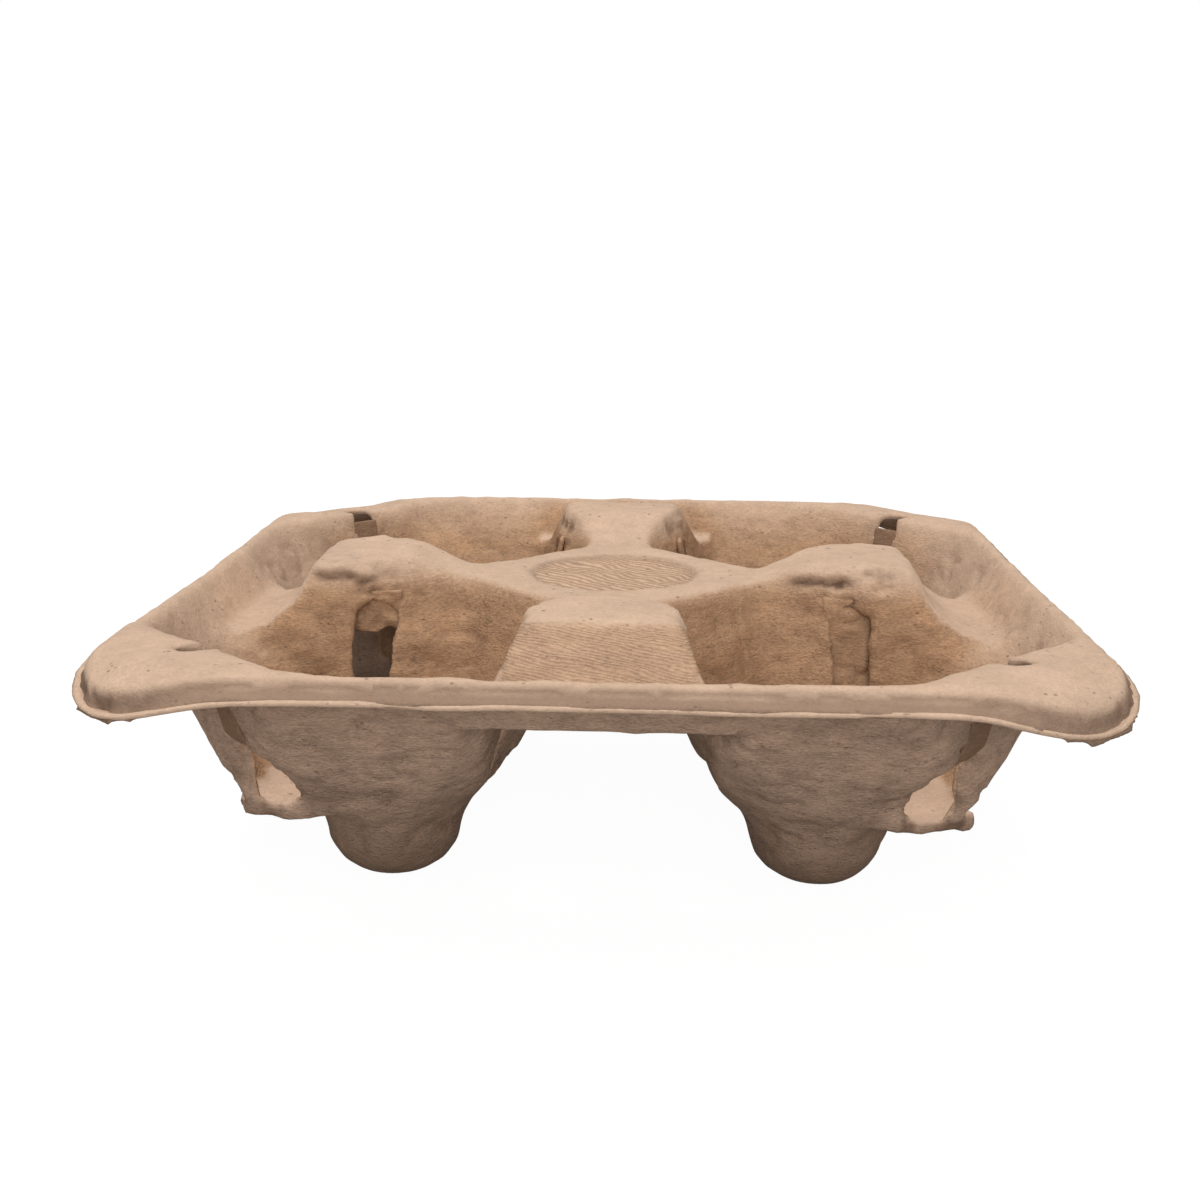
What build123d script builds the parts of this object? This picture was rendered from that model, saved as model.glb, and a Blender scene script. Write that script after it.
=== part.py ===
from build123d import *
import os
from math import asin, ceil, cos, hypot, radians, sin, sqrt

# A four-cup carrier of moulded fibre: one thin sheet pressed into four sprung pockets
# on round feet, a cross of humped ridges, a lipped rim and drooping corner flanges.
# Lengths in mm. Z = 0 is the floor under the feet, +X right, -Y front.

# Overall
side = 215.0             # over the trimmed edge, both ways
deck = 62.0              # lip top above the floor, at the middle of a side
wall = 2.2               # thickness of the pressed sheet

# Rim
edge_radius = 32.0       # plan corner of the trimmed edge
edge_width = 2.0         # thin flat left outside the lip by the trim
edge_thickness = 1.6
lip_height = 5.6
lip_lean = 1.6           # lip top set in from the lip foot
lip_width = 2.5          # lip to the pocket mouth
lip_round = 1.8
corner_fall = 6.5        # the corner flange bends down this far to its tip
corner_flat = 16.0       # mouth side to where the bend starts, on the diagonal
bend_strips = 5          # flat strips that make up the bend

# Pockets: each wall leans in from the mouth, at the lip top, to the ledge round the foot
pitch = 0.4465 * side    # foot centre to foot centre
pocket_depth = 40.0      # lip top down to the level of the ledge
corner_out = 44.4        # foot centre to the cut-off outer corner of its mouth
ledge_sides = 11.9       # ledge from the foot to the wall at the left or right side
ledge_ends = 1.9         # to the wall at the front or back
ledge_corner = 14.9      # to the outer corner
ledge_ridge = 3.1        # to the wall beside a hump
ledge_neck = 2.3         # to the wall between hump and neck
ledge_middle = 6.7       # to the wall toward the middle of the carrier
corner_round = 20.0      # plan rounds at the mouth, and at the ledge
corner_low_round = 4.0
end_round = 9.0
end_low_round = 7.0
neck_round = 6.0
neck_low_round = 4.0
bend_round = 13.0
ledge_slope = 0.95       # fall of the ledge toward the foot
lug_half = 20.0          # half length of the level lug at the side of a pocket
lug_from = 12.0          # where it starts, from the foot's middle
lug_drop = 3.0           # its underside, below the level of the ledge
foot_radius = 16.0       # outside
foot_flare = 1.5         # a foot is this much wider at the ledge
foot_share = 0.773       # height of a foot, as a share of the ledge's height
foot_flat = 3.0          # flat under a foot, half its width
round_share = 0.765      # height of the round under a foot, as a share of the foot
foot_bands = 4           # bands that make up that round
foot_sides = 24          # flat sides that make up a foot
strip_turn = 24.0        # a plan round is made of flat strips, turned by up to this, degrees

# Ridges
neck_in = 12.5           # a ridge is narrowest here, in from the foot centres
neck_half = 6.5
ridge_half = 17.0        # half width beside the hump, at the lip top
ridge_end_half = 19.0    # half width at the rim
hump_rise = 3.5          # over the lip
hump_length = 23.0       # level top of the hump
hump_gap = 28.4          # from there to the mouth side
hump_run = 13.0          # slope at the inner end
hump_step = 4.0          # steep slope at the outer end
step_drop = 4.5          # it ends this far under the lip
trough_drop = 12.0       # ridge foot, under the lip
trough_run = 7.0         # easier slope down to the trough
trough_fall = 1.5        # trough floor falls outward
trough_draft = 9.0       # its outer wall comes in by this much
trough_past = 4.0        # a trough runs past the ridge's side by this much
dish_drop = 2.0          # crossing of the ridges, under the lip
disc_edge = 9.7          # round disc in the middle, in from the pockets' mouths
disc_drop = 0.8

# Slots
slot_width = 6.0         # on the outer corner of a pocket
slot_reach = 6.5         # runs on past the mouth, over the flange
slot_lift = 2.0          # ends this far over the lug
window_height = 6.0      # between the side flap and the ledge
window_along = 13.0
vent_out = 9.5           # slot in a ridge wall, out from the foot centres
vent_width = 9.0         # at the top
vent_foot_width = 6.5
vent_cover = 8.0         # left between the vent and the hump's underside
vent_lift = 3.0

# Worked out
half = side / 2
lip_half = half - edge_width
lip_foot = deck - lip_height
mouth_half = lip_half - lip_lean - lip_width
centre = pitch / 2
ledge = deck - pocket_depth
foot_top = foot_share * ledge
foot_round = round_share * foot_top
knee_radius = foot_radius + foot_flare
neck_out = centre - neck_in
hump_out = mouth_half - hump_gap
hump_in = hump_out - hump_length
disc_radius = (neck_out + neck_half) / sqrt(2) - disc_edge
vent_at = centre + vent_out
mouth_corner = centre + corner_out / sqrt(2)
ridge_bend = (hump_in + hump_out) / 2
hump_start = hump_in - hump_run
hump_end = hump_out + hump_step
clear = 6.0              # cutting solids run past the sheet by this much
base = -clear            # bottom of the cutting solids
over = deck + hump_rise + clear
up = (Align.CENTER, Align.CENTER, Align.MIN)


def left_of(along):
    """Unit vector square to a plan direction, on its left."""
    return Vector(-along.Y, along.X)


def meeting(p, u, q, v):
    """Where a plan line through p along u crosses one through q along v."""
    return p + u * ((q - p).cross(v).Z / u.cross(v).Z)


def pocket_section(z, grow):
    """A pocket's section at height z, grown outward by the sheet or not at all."""
    level = (z - ledge) / pocket_depth
    cut = 2 * mouth_corner - mouth_half
    axis = Vector(centre, centre)
    # mouth corner, ledge at the wall that follows it, plan rounds at ledge and mouth
    corners = [
        ((mouth_half, ridge_end_half), ledge_sides, end_low_round, end_round),
        ((mouth_half, cut), ledge_corner, corner_low_round, corner_round),
        ((cut, mouth_half), ledge_ends, corner_low_round, corner_round),
        ((ridge_end_half, mouth_half), ledge_ridge, end_low_round, end_round),
        ((ridge_half, ridge_bend), ledge_neck, bend_round, bend_round),
        ((neck_half, neck_out), ledge_middle, neck_low_round, neck_round),
        ((neck_out, neck_half), ledge_neck, neck_low_round, neck_round),
        ((ridge_bend, ridge_half), ledge_ridge, bend_round, bend_round),
    ]
    walls = []
    for k, ((x, y), width, _, _) in enumerate(corners):
        start, end = Vector(x, y), Vector(*corners[(k + 1) % len(corners)][0])
        along = (end - start).normalized()
        mouth = (axis - start).dot(left_of(along))
        low = knee_radius + width
        out = low + (mouth - low) * level + grow
        walls.append((axis - left_of(along) * out, along))
    lines = []
    for k, (point, along) in enumerate(walls):
        low, high = corners[k][2:]
        before, heading = walls[k - 1]
        turn = heading.get_signed_angle(along, Vector(0, 0, 1))
        bend = low + (high - low) * level
        r = bend + grow if turn > 0 else -(bend - grow)
        middle = meeting(before, heading, point, along)
        middle += left_of(heading.rotate(Axis.Z, turn / 2)) * r / cos(radians(turn / 2))
        strips = ceil(abs(turn) / strip_turn)
        for i in range(1, strips):
            strip = heading.rotate(Axis.Z, turn * i / strips)
            lines.append((middle - left_of(strip) * r, strip))
        lines.append((point, along))
    points = [meeting(*lines[k - 1], *lines[k]) for k in range(len(lines))]
    return Pos(0, 0, z) * make_face(Polyline(*points, close=True))


def stack(rings):
    """Round solid on a pocket's axis, through rings of radius and height."""
    return loft([Pos(centre, centre, z) * RegularPolygon(r, foot_sides) for r, z in rings], ruled=True)


def pocket(grow):
    """One pocket as a solid plug: drafted walls, sloping ledge and round foot."""
    thin = wall - grow
    rings = []
    for k in range(foot_bands + 1):
        a = radians(90 * k / foot_bands)
        r = foot_flat + (foot_radius - foot_flat - thin) * sin(a)
        rings.append((r, foot_round - (foot_round - thin) * cos(a)))
    # a sloping face moves square to itself, so its height shifts by more than the sheet
    knee_r = knee_radius - thin
    knee = foot_top + thin * (hypot(1, ledge_slope) - ledge_slope)
    rings.append((knee_r, knee))
    foot = stack(rings + [(knee_r, knee + clear / 4)])
    reach = over - knee
    over_ledge = stack([(knee_r, knee), (knee_r + reach / ledge_slope, over)])
    lug = Pos(centre + lug_from - grow, centre, ledge - lug_drop + thin) * Box(
        half, 2 * (lug_half + grow), over - ledge, align=(Align.MIN, Align.CENTER, Align.MIN)
    )
    over_ledge += lug
    seat = pocket_section(ledge, grow)
    walls = loft([seat, pocket_section(over, grow)], ruled=True)
    walls += extrude(seat, amount=knee - ledge)
    return (walls & over_ledge) + foot


def quarters(solid):
    """A solid in the back right quarter, mirrored to all four quarters."""
    right = [solid, mirror(solid, Plane.XZ)]
    return right + [mirror(s, Plane.YZ) for s in right]


def turns(solid):
    """A solid on the right, turned to all four sides."""
    return [Rot(0, 0, 90 * k) * solid for k in range(4)]


def across(points, width):
    """A profile along the right-hand ridge, drawn out to both sides."""
    with BuildSketch(Plane.XZ) as profile:
        with BuildLine():
            Polyline(*points, close=True)
        make_face()
    return extrude(profile.sketch, amount=width, both=True)


def rounded_square(half_side, radius, z):
    return Pos(0, 0, z) * RectangleRounded(2 * half_side, 2 * half_side, radius)


def under(level):
    """Everything below a level top whose four corners bend down."""
    crease = sqrt(2) * (mouth_half - corner_flat)
    run = sqrt(2) * half - (sqrt(2) - 1) * edge_radius - crease
    bend = (run ** 2 + corner_fall ** 2) / (2 * corner_fall)
    block = Pos(0, 0, base) * Box(2 * side, 2 * side, level - base, align=up)
    fall = []
    for k in range(bend_strips + 2):
        a = asin(run / bend) * k / bend_strips
        fall.append((crease + bend * sin(a), level - bend + bend * cos(a)))
    with BuildSketch(Plane.XZ) as bent:
        with BuildLine():
            Polyline(*fall, (fall[-1][0], level + clear), (crease, level + clear), close=True)
        make_face()
    wedge = extrude(bent.sketch, amount=side, both=True)
    for k in range(4):
        block -= Rot(0, 0, 45 + 90 * k) * wedge
    return block


def rim(inset):
    """The lipped plate as a block, set in by the sheet or not at all."""
    crown = lip_round * (1 - sqrt(0.5))
    steps = [
        (0, lip_foot),
        (lip_lean, deck - lip_round),
        (lip_lean + crown, deck - crown),
        (lip_lean + lip_round, deck),
    ]
    out, corner = lip_half - inset, edge_radius - edge_width - inset
    rings = [rounded_square(out - step, corner - step, z - (inset if step else 0)) for step, z in steps]
    block = loft(rings, ruled=True) + extrude(rings[0], amount=base - lip_foot)
    return block & under(deck - inset)


def trough(grow):
    """The hollow between a hump and the rim."""
    return across(
        [
            (hump_out - grow / 2, deck + clear),
            (hump_out - grow / 2, deck + hump_rise - grow),
            (hump_end - grow, deck - step_drop - grow / 2),
            (hump_end + trough_run - grow / 2, deck - trough_drop + trough_fall - grow),
            (mouth_half - trough_draft + grow / 2, deck - trough_drop - grow),
            (mouth_half + grow, deck),
            (mouth_half + grow, deck + clear),
        ],
        ridge_end_half + trough_past + grow,
    )


def hump(inset):
    """The raised middle of a ridge, wider than the pockets leave it."""
    root = deck - trough_drop
    return across(
        [
            (hump_start + inset, root - inset),
            (hump_start + inset, deck - dish_drop - inset),
            (hump_in + inset / 2, deck + hump_rise - inset),
            (hump_out - inset / 2, deck + hump_rise - inset),
            (hump_end - inset, deck - step_drop - inset / 2),
            (hump_end - inset, root - inset),
        ],
        ridge_half + clear,
    )


def dish(grow):
    """The lowered crossing of the ridges, with its shallow disc."""
    floor = deck - dish_drop - grow
    well = Pos(0, 0, floor) * Box(2 * hump_in, 2 * hump_in, clear + dish_drop, align=up)
    disc = Pos(0, 0, floor - disc_drop) * Cylinder(disc_radius, clear, align=up)
    return well + disc


def form(inset, spread, foot):
    """All that lies under the sheet's top face, or under its bottom face when set in.

    Round the lip it spreads out as a plate whose top is at the height foot.
    """
    plate = extrude(rounded_square(spread, edge_radius, base), amount=deck - base)
    block = rim(inset) + (plate & under(foot))
    block -= turns(trough(inset))
    block -= dish(inset)
    block += turns(hump(inset))
    return block - quarters(pocket(inset))


def corner_slot():
    """The slot on a pocket's outer corner, from the flange down to the ledge."""
    foot = ledge - lug_drop + wall + slot_lift
    inner = sqrt(2) * (centre + foot_radius)
    outer = sqrt(2) * mouth_corner + slot_reach
    plan = Pos((inner + outer) / 2, 0, foot) * SlotOverall(outer - inner, slot_width)
    return Rot(0, 0, 45) * extrude(plan, amount=over - foot)


def window():
    """The opening between the side flap and the ledge, beside the corner slot."""
    foot = ledge - lug_drop + wall + slot_lift / 2
    along = centre + foot_radius + slot_width / 2 - window_along
    return Pos(centre + foot_radius, along, foot) * Box(
        half - centre, window_along, window_height, align=Align.MIN
    )


def vent():
    """The slot in a ridge wall that frees a flap of the pocket."""
    top = deck + hump_rise - wall - vent_cover
    foot = ledge + vent_lift
    with BuildSketch(Plane.XZ) as opening:
        with BuildLine():
            Polyline(
                (vent_at - vent_foot_width / 2, foot),
                (vent_at + vent_foot_width / 2, foot),
                (vent_at + vent_width / 2, top),
                (vent_at - vent_width / 2, top),
                close=True,
            )
        make_face()
        chamfer(opening.vertices().sort_by(Axis.Y)[-2:], vent_width / 4)
    return Pos(0, ridge_half / 2, 0) * extrude(opening.sketch, amount=-(centre - ridge_half))


if __name__ == "__main__":
    os.makedirs("parts", exist_ok=True)
    sheet = form(0.0, half, lip_foot + edge_thickness) - form(wall, side, lip_foot)
    side_vent = vent()
    end_vent = mirror(Rot(0, 0, 90) * side_vent, Plane.YZ)
    for opening in (corner_slot(), window(), side_vent, end_vent):
        sheet -= quarters(opening)
    export_step(sheet, "parts/carrier.step")
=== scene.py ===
# %% [markdown]
# # A moulded-fibre cup carrier
# One sheet of paper pulp, sucked onto a wire screen and dried, holds four cups. The solid model gives its
# exact form. Here a copy of that form is softened, warped and roughened as wet pulp is when it dries, and
# gets a fibrous brown finish, a soft studio light and a camera that looks along the front rim.

# %% Load the frame
import bpy
import numpy as np
from mathutils import Matrix, Vector


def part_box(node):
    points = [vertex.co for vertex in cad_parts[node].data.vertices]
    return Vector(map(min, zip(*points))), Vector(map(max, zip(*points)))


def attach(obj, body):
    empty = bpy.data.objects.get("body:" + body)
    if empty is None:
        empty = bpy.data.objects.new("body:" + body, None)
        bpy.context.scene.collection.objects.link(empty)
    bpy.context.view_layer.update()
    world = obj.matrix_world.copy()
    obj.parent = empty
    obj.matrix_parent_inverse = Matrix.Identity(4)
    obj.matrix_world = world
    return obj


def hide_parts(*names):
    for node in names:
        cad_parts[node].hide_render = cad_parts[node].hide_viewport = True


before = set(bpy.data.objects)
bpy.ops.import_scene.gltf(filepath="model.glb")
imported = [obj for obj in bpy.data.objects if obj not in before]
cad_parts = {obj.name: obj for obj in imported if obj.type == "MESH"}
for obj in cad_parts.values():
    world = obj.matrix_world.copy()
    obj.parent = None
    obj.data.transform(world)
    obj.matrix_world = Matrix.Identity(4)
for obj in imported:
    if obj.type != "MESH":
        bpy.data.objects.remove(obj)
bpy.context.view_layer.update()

MM = 0.001
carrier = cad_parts["carrier"]
low, high = (np.array(c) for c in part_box("carrier"))
print("carrier box in mm:", np.round(low / MM, 1), np.round(high / MM, 1))

# %% [markdown]
# ## Sizes read from the form
# The finish follows the form, so a few heights and places of the solid are needed again, in millimetres. The
# box gives the outer ones. The lip and the slots lie inside the box, so their places are written out.

# %% Sizes
LIP = 62.0            # lip top over the floor
HUMP = high[2] / MM   # top of the humps
HALF = high[0] / MM   # half the side over the trimmed edge
VENT = 57.5           # ridge slots, from the middle of the carrier
SIDES = (-1, 1)       # left and right, or front and back
print("lip at", LIP, "mm, humps at", round(HUMP, 1), "mm, half a side", round(HALF, 1), "mm")

# %% [markdown]
# ## The sheet
# The solid has crisp edges, and real pulp has none: fibres bridge every fold with a round of a few
# millimetres. A bevel would have to meet hundreds of small faces. So a voxel remesh gives a copy of the solid
# an even net of small faces, which can be relaxed afterwards.

# %% An even net over a copy of the solid
VOXEL = 1.3 * MM
DOUBLES = 1e-6   # points nearer than this, in metres, become one


def even_net(source, name):
    """Copy of a solid with its doubles merged and an even net of small faces."""
    sheet = bpy.data.objects.new(name, source.data.copy())
    bpy.context.scene.collection.objects.link(sheet)
    weld = sheet.modifiers.new("merge doubles", "WELD")
    weld.merge_threshold = DOUBLES
    net = sheet.modifiers.new("even net", "REMESH")
    net.mode = "VOXEL"
    net.voxel_size = VOXEL
    graph = bpy.context.evaluated_depsgraph_get()
    final = bpy.data.meshes.new_from_object(sheet.evaluated_get(graph))
    sheet.modifiers.clear()
    sheet.data = final
    return sheet


sheet = even_net(carrier, "pulp_sheet")
print("net of the sheet:", len(sheet.data.vertices), "points,", len(sheet.data.polygons), "faces")

# %% [markdown]
# ## Points as arrays
# All further shaping works on the points as one array of places, so that each effect is a formula on whole
# arrays. A mask says where an effect works: a number from 0 to 1 on each point, with soft edges, because a
# hard edge would show as a cut in the pulp.

# %% Points of the sheet and soft masks
def points_of(mesh):
    """Places of all points, in mm, one row each."""
    flat = np.empty(len(mesh.vertices) * 3, dtype=np.float32)
    mesh.vertices.foreach_get("co", flat)
    return flat.reshape(-1, 3).astype(float) / MM


def step(x, start, end):
    """Goes smoothly from 0 at start to 1 at end: 3t^2 - 2t^3."""
    t = np.clip((x - start) / (end - start), 0.0, 1.0)
    return t * t * (3 - 2 * t)


def falls(x, start, end):
    """Goes smoothly from 1 at start to 0 at end: 1 less the step."""
    return 1 - step(x, start, end)


def band(x, rise, fall):
    """1 between two soft edges: the step over the first range times the fall over the second."""
    return step(x, *rise) * falls(x, *fall)


points = points_of(sheet.data)
print("points from", points.min(axis=0).round(1), "to", points.max(axis=0).round(1), "mm")

# %% [markdown]
# ## Soft folds
# Relaxing moves each point toward the mean of its neighbours. Folds relax well, because both faces of the
# sheet move the same way, but free edges would shrink. So the slots, the lugs at the foot of the corner slots
# and the foot of the rim are held: they relax less than the rest. Afterwards the feet settle back on the
# floor.

# %% Where the net is held
SLOT_EDGE = (5.0, 9.0)                      # from a slot's middle line: held, then free
RIDGE_WALL = ((10.0, 13.0), (34.0, 38.0))   # where a ridge's wall begins and ends, from its middle line
CORNER_SLOT = (60.0, 64.0)                  # where the corner slots begin, from both middle lines
LUG_FROM = (62.0, 66.0)                     # where the lugs begin
LUG_TOP = (28.0, 34.0)                      # and how high they reach
RIM_FOOT = (102.0, 104.0)                   # where the foot of the rim begins, on a side
CORNER_FOOT = (130.0, 134.0)                # and along the diagonal


def diagonal(x, y):
    """How far out a point lies along the diagonal of its quarter: both widths over the root of 2."""
    return (np.abs(x) + np.abs(y)) / np.sqrt(2)


x, y, z = points.T
wide, deep = np.abs(x), np.abs(y)
slots = falls(np.abs(wide - VENT), *SLOT_EDGE) * band(deep, *RIDGE_WALL)
slots += falls(np.abs(deep - VENT), *SLOT_EDGE) * band(wide, *RIDGE_WALL)
slots += falls(np.abs(wide - deep), *SLOT_EDGE) * step(wide, *CORNER_SLOT)
lugs = step(wide, *LUG_FROM) * falls(z, *LUG_TOP)
rim_foot = step(np.maximum(wide, deep), *RIM_FOOT) + step(diagonal(x, y), *CORNER_FOOT)
held = np.clip(slots + lugs + rim_foot, 0, 1)
print("held:", round(100 * held.mean()), "% of the net")

# %% Relax the folds
SHARE = 0.5         # of the way to the neighbours' mean, in each round
HELD_SHARE = 0.42   # taken off that where the net is held
ROUNDS = 14
SOLE = 12.0         # the feet settle up to this height


def relaxed(points, edges, share, rounds):
    """Moves each point by a share of the way to the mean of its neighbours, several times."""
    a, b = edges.T
    size = len(points)
    links = np.bincount(a, minlength=size) + np.bincount(b, minlength=size)
    for _ in range(rounds):
        total = [np.bincount(a, points[b, k], size) + np.bincount(b, points[a, k], size) for k in range(3)]
        mean = np.stack(total, axis=1) / np.maximum(links, 1)[:, None]
        points = points + share[:, None] * (mean - points)
    return points


flat = np.empty(len(sheet.data.edges) * 2, dtype=np.int32)
sheet.data.edges.foreach_get("vertices", flat)
points = relaxed(points, flat.reshape(-1, 2), SHARE - HELD_SHARE * held, ROUNDS)
print("relaxed; lowest point at", round(points[:, 2].min(), 2), "mm")
points[:, 2] -= points[:, 2].min() * falls(points[:, 2], 0.0, SOLE)

# %% [markdown]
# ## The rim's bend and sag
# A pulp tray dries unevenly. Its corner flanges bend down, as the solid's do already, its left and right
# sides sag between the corners, and the back corners sink a little. Both curves are written as functions of
# the place, because the edge of the rim and its colours need them again.

# %% How the rim's corners bend and its sides sag
CREASE = 120.8            # the corner flanges bend down from here on, along the diagonal
BEND = 28.2               # radius of that bend
MOST = 0.9                # the bend ends at this share of its radius
SIDE_SAG = (2.6, 1.5)     # in the middle of the left side, and of the right side
BACK_SAG = (3.4, 1.5)     # at the left back corner, and at the right one
SIDE_FROM = 45.0          # nothing sags nearer the middle than this
BACK_FROM = 60.0          # the back corners begin
BACK_CORNER = 95.0        # and sink fully from here on


def corner_drop(x, y):
    """How far the bent corner lies below the flat rim: a circle's fall from the crease outward."""
    past = np.maximum(diagonal(x, y) - CREASE, 0.0)
    return BEND - np.sqrt(BEND**2 - np.minimum(past, BEND * MOST) ** 2)


def side_sag(x, y):
    """How far the rim sinks: a parabola along the left and right sides, and a step at the back corners."""
    sides = (1 - (y / HALF) ** 2).clip(0) * step(np.abs(x), SIDE_FROM, HALF)
    corners = step(y, BACK_FROM, HALF) * step(np.abs(x), SIDE_FROM, BACK_CORNER)
    return sides * np.where(x < 0, *SIDE_SAG) + corners * np.where(x < 0, *BACK_SAG)


print("sag in the middle of the left side:", side_sag(-HALF, 0.0), "mm")

# %% [markdown]
# ## Flared blocks
# The block in the middle of the front rim, and its twin at the back, get wider toward the rim. Moving the
# points of their side faces outward, with a mask in all three directions, spares a new shape.

# %% Blocks that flare toward the rim
FLARE = 3.6                                 # of each side face, at the rim
FLARE_OUT = (66.0, 90.0)                    # grows over this stretch toward the rim
FLARE_FACE = ((4.0, 15.0), (19.0, 36.0))    # where the side faces lie
FLARE_UP = (36.0, 48.0)                     # grows over this height
x, y, z = points.T
flare = step(np.abs(y), *FLARE_OUT) * band(np.abs(x), *FLARE_FACE) * step(z, *FLARE_UP)
points[:, 0] += np.sign(x) * FLARE * flare
print("blocks flare by up to", round(FLARE * flare.max(), 1), "mm")

# %% [markdown]
# ## Sag
# The sag grows from the middle of the pockets up to the lip, so the feet stay on the floor. After it, the
# directions that the points face are read, because all roughness is pushed out along them.

# %% Let the rim sag
SAG_FROM = 25.0   # nothing sags below this height


def place(mesh, points):
    """Puts an array of places, in mm, back into the mesh."""
    mesh.vertices.foreach_set("co", (points * MM).astype(np.float32).ravel())
    mesh.update()


def normals_of(mesh):
    """Outward unit directions of all points, one row each."""
    flat = np.empty(len(mesh.vertices) * 3, dtype=np.float32)
    mesh.vertices.foreach_get("normal", flat)
    return flat.reshape(-1, 3).astype(float)


sagged = side_sag(points[:, 0], points[:, 1]) * step(points[:, 2], SAG_FROM, LIP)
points[:, 2] -= sagged
place(sheet.data, points)
facing = normals_of(sheet.data)
print("rim sags by up to", round(sagged.max(), 1), "mm")

# %% [markdown]
# ## Ripple and wrinkles
# Felted pulp is never flat: its faces go wavy by some tenths of a millimetre, and the walls of the pockets
# have fine wrinkles from drying. Three sizes of smooth noise give the waves. A wrinkle is the line where
# another noise passes zero. Noise from a formula gives the same tray on each run.

# %% Ripple and wrinkles
RIPPLE = ((0.30, 9.0, 1), (0.16, 4.0, 2), (0.10, 2.4, 3))   # height, size and seed of each wave
WALL_RIPPLE = 0.5                                           # more of it on walls
WALL_FACING = (0.6, 0.85)                                   # walls face up or down less than this
WALL_HEIGHT = ((5.0, 12.0), (LIP - 9.0, LIP - 4.0))         # and lie between these heights
WRINKLE_SIZE, WRINKLE_SEED, WRINKLE_SHARP = 5.0, 31, 4
WRINKLE_LIE = (1, 1, 0.8)                                   # stretches wrinkles a little in height
PATCH_SIZE, PATCH_SEED, PATCH = 8.0, 32, (-0.2, 0.3)        # wrinkles come in patches


def noise(points, size, seed):
    """Smooth noise between -1 and 1: random values on a grid of that size, blended between corners."""
    q = points / size + 1000.0
    cell = np.floor(q).astype(np.int64)
    t = q - cell
    t = t * t * (3 - 2 * t)
    total = np.zeros(len(points))
    for corner in range(8):
        offset = np.array([corner & 1, corner >> 1 & 1, corner >> 2 & 1])
        key = cell + offset
        mixed = key[:, 0] * 73856093 ^ key[:, 1] * 19349663 ^ key[:, 2] * 83492791 ^ seed * 2654435761
        mixed = (mixed ^ mixed >> 13) * 1274126177 & 0x7FFFFFFF
        value = (mixed ^ mixed >> 16) % 65536 / 32767.5 - 1.0
        weight = np.prod(np.where(offset == 1, t, 1 - t), axis=1)
        total += weight * value
    return total


def waves(points, parts):
    """Sum of smooth noises, each of its own height, size and seed."""
    return sum(height * noise(points, size, seed) for height, size, seed in parts)


ripple = waves(points, RIPPLE)
walls = falls(np.abs(facing[:, 2]), *WALL_FACING) * band(points[:, 2], *WALL_HEIGHT)
lines = 1 - np.abs(noise(points * WRINKLE_LIE, WRINKLE_SIZE, WRINKLE_SEED))
wrinkle = lines**WRINKLE_SHARP * step(noise(points, PATCH_SIZE, PATCH_SEED), *PATCH) * walls
print("ripple from", round(ripple.min(), 2), "to", round(ripple.max(), 2), "mm")

# %% [markdown]
# ## Crumples over the ridge slots
# The tool that opens a ridge slot tears the pulp, and the torn pulp crumples over the slot's head. A crumple
# is a spot round that head, longer along the ridge, in which pleats rise: sharp crests of smooth noise.

# %% Crumples
SPOT_OUT, SPOT_SIDE = 1.0, 16.5                   # middle of a crumple: past the slot, off the ridge's middle
SPOT_DOWN = 6.5                                   # and below the top of the hump
SPOT_REACH = 10.5
SPOT_SQUEEZE = 0.55                               # lengths along the ridge count this much
END_CRUMPLE = 0.7                                 # the ends' crumples are this strong
LARGE_PLEATS, SMALL_PLEATS = (5.2, 7), (2.9, 8)   # size and seed
PLEAT_LIE, PLEAT_SHIFT = (1, 1, 1.5), (0, 0, 40)  # large pleats are flatter; the shift picks their noise


def near(points, centres, reach):
    """1 at any of the centres, falling to 0 at that reach from all of them."""
    gap = np.min([np.linalg.norm(points - c, axis=1) for c in centres], axis=0)
    return falls(gap, 0.0, reach)


def pleats(points, size, seed):
    """Sharp crests of 1 where smooth noise passes zero, down to -1: 1 less twice its size."""
    return 1 - 2 * np.abs(noise(points, size, seed))


spots = np.array(
    [(sx * (VENT + SPOT_OUT), sy * SPOT_SIDE, HUMP - SPOT_DOWN) for sx in SIDES for sy in SIDES]
)
squeeze_x, squeeze_y = (SPOT_SQUEEZE, 1, 1), (1, SPOT_SQUEEZE, 1)
on_sides = near(points * squeeze_x, spots * squeeze_x, SPOT_REACH)
on_ends = near(points * squeeze_y, spots[:, [1, 0, 2]] * squeeze_y, SPOT_REACH)
crumple = np.maximum(on_sides, END_CRUMPLE * on_ends)
large = pleats(points * PLEAT_LIE + PLEAT_SHIFT, *LARGE_PLEATS)
creases = 0.5 * large + 0.5 * pleats(points, *SMALL_PLEATS)
print("crumpled:", np.count_nonzero(crumple > 0.1), "points at", 2 * len(spots), "slots")

# %% [markdown]
# ## Fold lines and torn lugs
# In front of each side hump the pulp has folded into a wandering groove with a lip above it. The lugs at the
# foot of the corner slots are torn lumps. A groove is a bell curve of the height over its line, so groove and
# lip are two such curves, and the lugs take a coarse noise.

# %% Fold lines and torn lugs
LINE_DOWN = 4.6                                    # below the top of the hump
LINE_WANDER = ((0.9, 4.0, 9),)                     # height, size and seed of its waves
LINE_SPAN = ((-17.0, -12.0), (-2.0, 3.0))          # its two ends, from the ridge slot
LINE_FACE = ((6.0, 9.0), (20.0, 23.0))             # the face that it lies on, from the ridge's middle
LINE_WIDTH, LIP_UP, LIP_WIDTH = 0.8, 1.7, 1.2
TORN_FROM = (128.0, 136.0)                         # torn lugs begin here, both widths together
TORN_TOP = (27.0, 33.0)                            # and end at this height
LUMPS = ((1.0, 3.4, 5), (0.6, 6.5, 6))             # height, size and seed of each wave


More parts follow.
